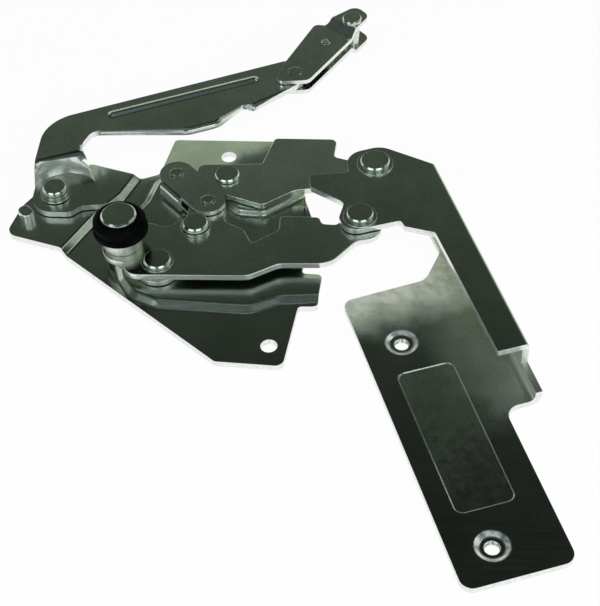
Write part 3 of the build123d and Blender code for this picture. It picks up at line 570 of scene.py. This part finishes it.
def grain_panel(material, pivot, turn):
    """Grain of the flange's sunk panel: a rougher, mottled surface inside its border.
    In the door's own axes it grows more satin towards the pivots."""
    tree = material.node_tree
    place, axes = door_axes(tree, pivot, turn)
    across = reckon(tree, "COMPARE", axes["X"], PANEL_MIDDLE[0] * MM, PANEL_HALF[0] * MM)
    along = reckon(tree, "COMPARE", axes["Y"], PANEL_MIDDLE[1] * MM, PANEL_HALF[1] * MM)
    grain = noise(tree, place["Object"], scale=420.0, detail=5.0, roughness=0.65)
    mottle = span(tree, grain, 0.30, 0.70, low=0.22, high=0.31)
    rise = span(tree, axes["Y"], PANEL_RISE[0] * MM, PANEL_RISE[1] * MM, low=-0.04, high=0.10)
    lay_over(tree, "Roughness", reckon(tree, "ADD", mottle, rise), reckon(tree, "MULTIPLY", across, along))


COLLAR_WALL_R = 4.05
COLLAR_WALL_HALF = 0.9


def paint_collar_highlights(material, centres):
    """Painted highlight on the walls of the two collars: a pale, patchy ring about each centre."""
    tree = material.node_tree
    place = tree.nodes.new("ShaderNodeTexCoord")
    reach = [off_axis(tree, place.outputs["Object"], centre) for centre in centres]
    beside = reckon(tree, "SUBTRACT", reckon(tree, "MINIMUM", *reach), COLLAR_WALL_R * MM)
    half = COLLAR_WALL_HALF * MM
    wall = span(tree, reckon(tree, "ABSOLUTE", beside), half, half / 2)
    highlight_breakup = noise(tree, place.outputs["Object"], scale=520.0, detail=3.0)
    patches = span(tree, highlight_breakup, 0.38, 0.58, low=0.0, high=wall)
    # The pale ring is a painted highlight; noise breaks up its metallic share in patches.
    lay_over(tree, "Base Color", (0.92, 0.95, 0.93, 1.0), wall)
    lay_over(tree, "Roughness", 0.22, wall)
    lay_over(tree, "Metallic", 0.66, patches)


def thread_mesh(name, centre, bore, low, high, pitch=0.8, depth=0.28, seat=0.02, run_out=1.2, around=72):
    """Screw thread inside a bore: a rounded ridge carried along a helix, with its sides seated in the wall.
    Across the ridge the radius falls from the bore by depth times half of one less the cosine, and the ridge
    fades to nothing over a run-out in radians at each end."""
    turns = (high - low) / pitch - 1.0
    along = np.linspace(0.0, 2 * np.pi * turns, int(around * turns))
    across = np.linspace(0.0, 1.0, 9)
    fade = np.clip(np.minimum(along, along[-1] - along) / run_out, 0.0, 1.0)
    ridge = depth * 0.5 * (1 - np.cos(2 * np.pi * across))
    radius = bore + seat - fade[:, None] * ridge
    x = centre[0] + radius * np.cos(along)[:, None]
    y = centre[1] + radius * np.sin(along)[:, None]
    z = low + pitch * (along[:, None] / (2 * np.pi) + across)
    verts = np.stack([x, y, z], axis=-1).reshape(-1, 3) * MM
    row = (np.arange(len(along) - 1) * len(across))[:, None] + np.arange(len(across) - 1)
    after = row + len(across)
    quads = np.stack([row, row + 1, after + 1, after], axis=-1)
    mesh = bpy.data.meshes.new(name)
    mesh.from_pydata(verts.tolist(), [], quads.reshape(-1, 4).tolist())
    mesh.polygons.foreach_set("use_smooth", np.ones(len(mesh.polygons), bool))
    mesh.update()
    return mesh


DOOR_TONE = (0.50, 0.57, 0.465)
DOOR_TURN = math.radians(19.5)
screws = next(m for m in frame["record"]["mounts"] if m["name"] == "door_screws")
screw_half = screws["dims"]["pcd_mm"] / 2
screw_middle = np.array(screws["pos_m"][:2]) / MM
screw_line = np.array([math.sin(DOOR_TURN), -math.cos(DOOR_TURN)])
screw_spots = [screw_middle - screw_half * screw_line, screw_middle + screw_half * screw_line]
door_pivot = axis_of("door_lower_rivet")[0]
door_zinc = zinc_plate("zinc_door_arm", DOOR_TONE, roll_turn=-70.0, fleck=1.4)
channel_light_and_satin(door_zinc, door_pivot, DOOR_TURN)
grain_panel(door_zinc, door_pivot, DOOR_TURN)
paint_collar_highlights(door_zinc, screw_spots)
dress_sheet("door_arm", "door_arm", door_zinc, edge=0.28)
THREAD_R = 2.1
COLLAR_LOW = -3.45
COLLAR_HIGH = -1.5
BARE_TONE = (0.66, 0.68, 0.64)
thread_zinc = zinc_plate("zinc_thread", BARE_TONE)
for spot, label in zip(screw_spots, ("upper", "lower")):
    mesh = thread_mesh(label + "_collar_thread", spot, THREAD_R, COLLAR_LOW, COLLAR_HIGH)
    mesh.materials.append(thread_zinc)
    thread = bpy.data.objects.new(label + "_collar_thread", mesh)
    bpy.context.scene.collection.objects.link(thread)
    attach(thread, "door_arm")


# Door arm pivots: two shouldered rivets of turned steel, each with a thin washer under a flat head.
# The lower one joins the arm to the lower link, and the upper one runs in the upper link's eased hole.
DOOR_PIN_R = 2.5
DOOR_UPPER_HEAD_R = 4.5
DOOR_LOWER_HEAD_R = 4.0
low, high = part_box("door_upper_rivet")
door_rivets = (("door_upper_rivet", DOOR_UPPER_HEAD_R, (high.x - low.x) / 2 / MM, "door_arm"),
               ("door_lower_rivet", DOOR_LOWER_HEAD_R, DOOR_PIN_R + TAIL_OVER, "lower_link"))
for node, head_r, tail_r, body in door_rivets:
    spot, foot, top = axis_of(node)
    turned_piece(node,
                 upset_tail(DOOR_PIN_R, tail_r, foot)
                 + [(DOOR_PIN_R, top - HEAD_H), (head_r, top - HEAD_H)] + eased_head(head_r, top),
                 turned_zinc("zinc_" + node, spot, PIN_TONE), body)
for node, body in (("door_upper_washer", "door_arm"), ("door_lower_washer", "lower_link")):
    dress_sheet(node, body, zinc_plate("zinc_" + node, PIN_TONE), edge=0.15)


# Spring arm: a long lever of zinc plated sheet on its own pivot of the base, which carries the pull link.
# It is joggled up from the pivot, and a bead is pressed along its blade for stiffness.
ARM_TONE = (0.53, 0.59, 0.49)
BEAD_H = 0.75
BEAD_ANGLES = (20.0, 60.0)
BEAD_SHARE = 0.2
FOLD_TURN = math.radians(22.5)
FOLD_AT = 9.0
FOLD_ZONE = 3.0
FOLD_ANGLE = 40.0
LEVEL_SLACK = 0.05
arm_spot = axis_of("arm_pivot_rivet")[0]
blade_top = axis_of("spring_arm")[2] - BEAD_H


def arm_fold(middle, angle):
    """Folds of the arm: the bead's gentle edges, and the line where the blade turns down into the ramp."""
    x, y, z = (middle - (*arm_spot, blade_top)).T
    across = np.abs(y * math.cos(FOLD_TURN) - x * math.sin(FOLD_TURN) - FOLD_AT) < FOLD_ZONE
    turned_down = across & (angle > FOLD_ANGLE) & (np.abs(z) < LEVEL_SLACK)
    bead = ~across & (angle > BEAD_ANGLES[0]) & (angle < BEAD_ANGLES[1]) & (z > -LEVEL_SLACK)
    return np.where(turned_down, 1.0, np.where(bead, BEAD_SHARE, 0.0))


arm_zinc = zinc_plate("zinc_spring_arm", ARM_TONE, roll_turn=23.0)
dress_sheet("spring_arm", "spring_arm", arm_zinc, edge=0.30, fold=1.6, folded=arm_fold)


# Pull link: two thin cheeks of zinc plated sheet riveted round the blade's end.
# A spacer on a hollow rivet spreads them into a fork, and a headed pin at its end takes the spring's hook.
for node in ("pull_cheek_upper", "pull_cheek_lower"):
    dress_sheet(node, "pull_link", zinc_plate("zinc_" + node, ARM_TONE, roll_turn=54.0), edge=0.15)
dress_sheet("fork_spacer", "pull_link", zinc_plate("zinc_fork_spacer", PIN_TONE), edge=0.1)
spot, foot, top = axis_of("pull_rivet")
turned_piece("pull_rivet",
             [(0, foot), (PIVOT_R, foot), (PIVOT_R, top - GROOVE), (PIVOT_R - GROOVE, top), (0, top)],
             turned_zinc("zinc_pull_rivet", spot, PIN_TONE), "pull_link", soft=0.1)
FORK_RIVET_R = 1.6
FORK_BORE_R = 0.9
FORK_BORE_H = 1.05
spot, foot, top = axis_of("fork_rivet")
turned_piece("fork_rivet", [
    (0, foot), (FORK_RIVET_R, foot), (FORK_RIVET_R, top - GROOVE), (FORK_RIVET_R - GROOVE, top),
    (FORK_BORE_R, top), (FORK_BORE_R - GROOVE, top - FORK_BORE_H), (0, top - FORK_BORE_H)],
    turned_zinc("zinc_fork_rivet", spot, BARE_TONE), "pull_link", soft=0.15)
SPRING_PIN_R = 2.4
SPRING_HEAD_R = 3.2
spot, foot, top = axis_of("spring_pin")
turned_piece("spring_pin",
             [(0, foot), (SPRING_PIN_R, foot), (SPRING_PIN_R, top - HEAD_H), (SPRING_HEAD_R, top - HEAD_H)]
             + eased_head(SPRING_HEAD_R, top),
             turned_zinc("zinc_spring_pin", spot, PIN_TONE), "pull_link")


# Stage: a white paper floor that curves up into a low round wall, as on a photographer's table.
# It shows white to the camera and in mirrors, and keeps a trace of the object's shadow.
FLOOR_GAP = 0.0002
FLOOR_R = 1.1
HUB_R = 0.02
COVE_R = 0.30
WALL_H = 0.12
TABLE_CENTRE = (0.02, -0.03)
SIDES = 96
WHITE_SHARE = 0.96
bend = np.linspace(0.0, np.pi / 2, 12)
cove_r = np.concatenate([[HUB_R], FLOOR_R - COVE_R + COVE_R * np.sin(bend), [FLOOR_R]])[:, None]
cove_z = np.concatenate([[0.0], COVE_R - COVE_R * np.cos(bend), [WALL_H]])[:, None]
turn = np.linspace(0.0, 2 * np.pi, SIDES, endpoint=False)
floor_level = solid_box[0].z - FLOOR_GAP
rings = np.stack([cove_r * np.cos(turn) + TABLE_CENTRE[0], cove_r * np.sin(turn) + TABLE_CENTRE[1],
                  np.repeat(cove_z, SIDES, axis=1) + floor_level], axis=-1)
hub = np.arange(SIDES)
step = np.roll(hub, -1)
row = (np.arange(len(cove_r) - 1) * SIDES)[:, None]
quads = np.stack([row + hub, row + SIDES + hub, row + SIDES + step, row + step], axis=-1)
mesh = bpy.data.meshes.new("table")
mesh.from_pydata(rings.reshape(-1, 3).tolist(), [], quads.reshape(-1, 4).tolist() + [hub.tolist()])
mesh.polygons.foreach_set("use_smooth", np.ones(len(mesh.polygons), bool))
table = bpy.data.objects.new("table", mesh)
bpy.context.scene.collection.objects.link(table)
paper = bpy.data.materials.new("white_paper")
paper.use_nodes = True
tree = paper.node_tree
tree.nodes.remove(tree.nodes["Principled BSDF"])
diffuse = tree.nodes.new("ShaderNodeBsdfDiffuse")
diffuse.inputs["Color"].default_value = (0.9, 0.9, 0.9, 1.0)
white = tree.nodes.new("ShaderNodeEmission")
path = tree.nodes.new("ShaderNodeLightPath")
seen = reckon(tree, "MAXIMUM", path.outputs["Is Camera Ray"], path.outputs["Is Glossy Ray"])
seen = reckon(tree, "MAXIMUM", seen, path.outputs["Is Transmission Ray"])
mix = tree.nodes.new("ShaderNodeMixShader")
feed(tree, mix.inputs["Fac"], reckon(tree, "MULTIPLY", seen, WHITE_SHARE))
tree.links.new(diffuse.outputs["BSDF"], mix.inputs[1])
tree.links.new(white.outputs["Emission"], mix.inputs[2])
tree.links.new(mix.outputs["Shader"], tree.nodes["Material Output"].inputs["Surface"])
mesh.materials.append(paper)


# Studio: a dim even room, darkest high up beyond the object where the flats look, with a key lamp for the
# shadow, and soft panels that the slopes and edges mirror: one overhead, two low in front, two at the right.
ROOM_NEAR = (0.075, 0.090, 0.095, 1.0)
ROOM_TINT = np.array([0.93, 1.09, 0.94])
# Brightness of the room by the sine of the height above the horizon
ROOM_LEVELS = ((0.0, 0.14), (0.30, 0.14), (0.45, 0.14), (0.58, 0.132), (0.655, 0.112), (0.69, 0.078),
               (0.735, 0.042), (0.775, 0.020), (0.82, 0.006), (0.86, 0.004), (0.91, 0.05), (0.95, 0.10),
               (1.0, 0.10))
world = bpy.data.worlds.new("studio")
bpy.context.scene.world = world
world.use_nodes = True
tree = world.node_tree
place = tree.nodes.new("ShaderNodeTexCoord")
axes = tree.nodes.new("ShaderNodeSeparateXYZ")
dome = tree.nodes.new("ShaderNodeValToRGB")
dome.color_ramp.elements.remove(dome.color_ramp.elements[1])
for sine, level in ROOM_LEVELS:
    stop = dome.color_ramp.elements.new(sine) if sine > 0.0 else dome.color_ramp.elements[0]
    stop.color = (*(level * ROOM_TINT), 1.0)
tree.links.new(place.outputs["Generated"], axes.inputs["Vector"])
tree.links.new(axes.outputs["Z"], dome.inputs["Fac"])
beyond = span(tree, axes.outputs["Y"], 0.05, 0.40, soft=True)
feed(tree, tree.nodes["Background"].inputs["Color"],
     blend(tree, "Color", beyond, ROOM_NEAR, dome.outputs["Color"]))
DAYLIGHT = (0.84, 0.92, 1.0)
PALE_GREEN = (0.95, 1.0, 0.97)
# Name, place in metres, width, height, watts and tint of each lamp
lamps = (("key_lamp", (0.30, -0.85, 0.95), 1.5, 0.9, 11.0, (0.97, 1.0, 0.98)),
         ("front_left_panel", (-0.62, -1.00, 0.70), 0.85, 0.42, 2.5, DAYLIGHT),
         ("front_right_panel", (0.62, -1.00, 0.70), 0.85, 0.42, 2.5, DAYLIGHT),
         ("top_panel", (0.0, -0.30, 1.06), 0.6, 0.30, 0.14, (0.78, 0.89, 1.0)),
         ("back_right_panel", (0.64, 0.26, 0.90), 0.36, 0.36, 0.36, PALE_GREEN),
         ("right_panel", (1.10, 0.15, 0.66), 0.9, 0.6, 0.80, PALE_GREEN))
for name, spot, wide, high, energy, tint in lamps:
    lamp_data = bpy.data.lights.new(name, "AREA")
    lamp_data.shape = "RECTANGLE"
    lamp_data.size = wide
    lamp_data.size_y = high
    lamp_data.energy = energy
    lamp_data.color = tint
    lamp = bpy.data.objects.new(name, lamp_data)
    bpy.context.scene.collection.objects.link(lamp)
    lamp.location = spot
    lamp.rotation_euler = lamp.location.to_track_quat("Z", "Y").to_euler()
    lamp.visible_glossy = name != "key_lamp"


# Camera: the photograph's own viewpoint, worked out from the object's straight edges and round holes.
# It stands in front and to the right, looks down at about 47 degrees, and is held a little askew.
IMAGE_W, IMAGE_H = 600, 606
FOCAL_PIXELS = 1498.0
SENSOR = 36.0
EYE = (55.13, -352.90, 315.5)
PITCH = math.radians(47.01)
YAW = math.radians(5.649)
ROLL = math.radians(2.79)
level_right = np.array([math.cos(YAW), math.sin(YAW), 0.0])
level_ahead = np.array([-math.sin(YAW), math.cos(YAW), 0.0])
upward = np.array([0.0, 0.0, 1.0])
ahead = math.cos(PITCH) * level_ahead - math.sin(PITCH) * upward
down = -math.sin(PITCH) * level_ahead - math.cos(PITCH) * upward
right = math.cos(ROLL) * level_right + math.sin(ROLL) * down
down = math.cos(ROLL) * down - math.sin(ROLL) * level_right
camera_data = bpy.data.cameras.new("camera")
camera_data.sensor_width = SENSOR
camera_data.lens = SENSOR * FOCAL_PIXELS / max(IMAGE_W, IMAGE_H)
camera_data.clip_start = 0.01
camera = bpy.data.objects.new("camera", camera_data)
bpy.context.scene.collection.objects.link(camera)
turned_view = np.eye(4)
turned_view[:3, :3] = np.stack([right, -down, -ahead], axis=1)
turned_view[:3, 3] = np.array(EYE) * MM
camera.matrix_world = Matrix(turned_view.tolist())
bpy.context.scene.camera = camera
bpy.context.scene.view_settings.view_transform = "Standard"
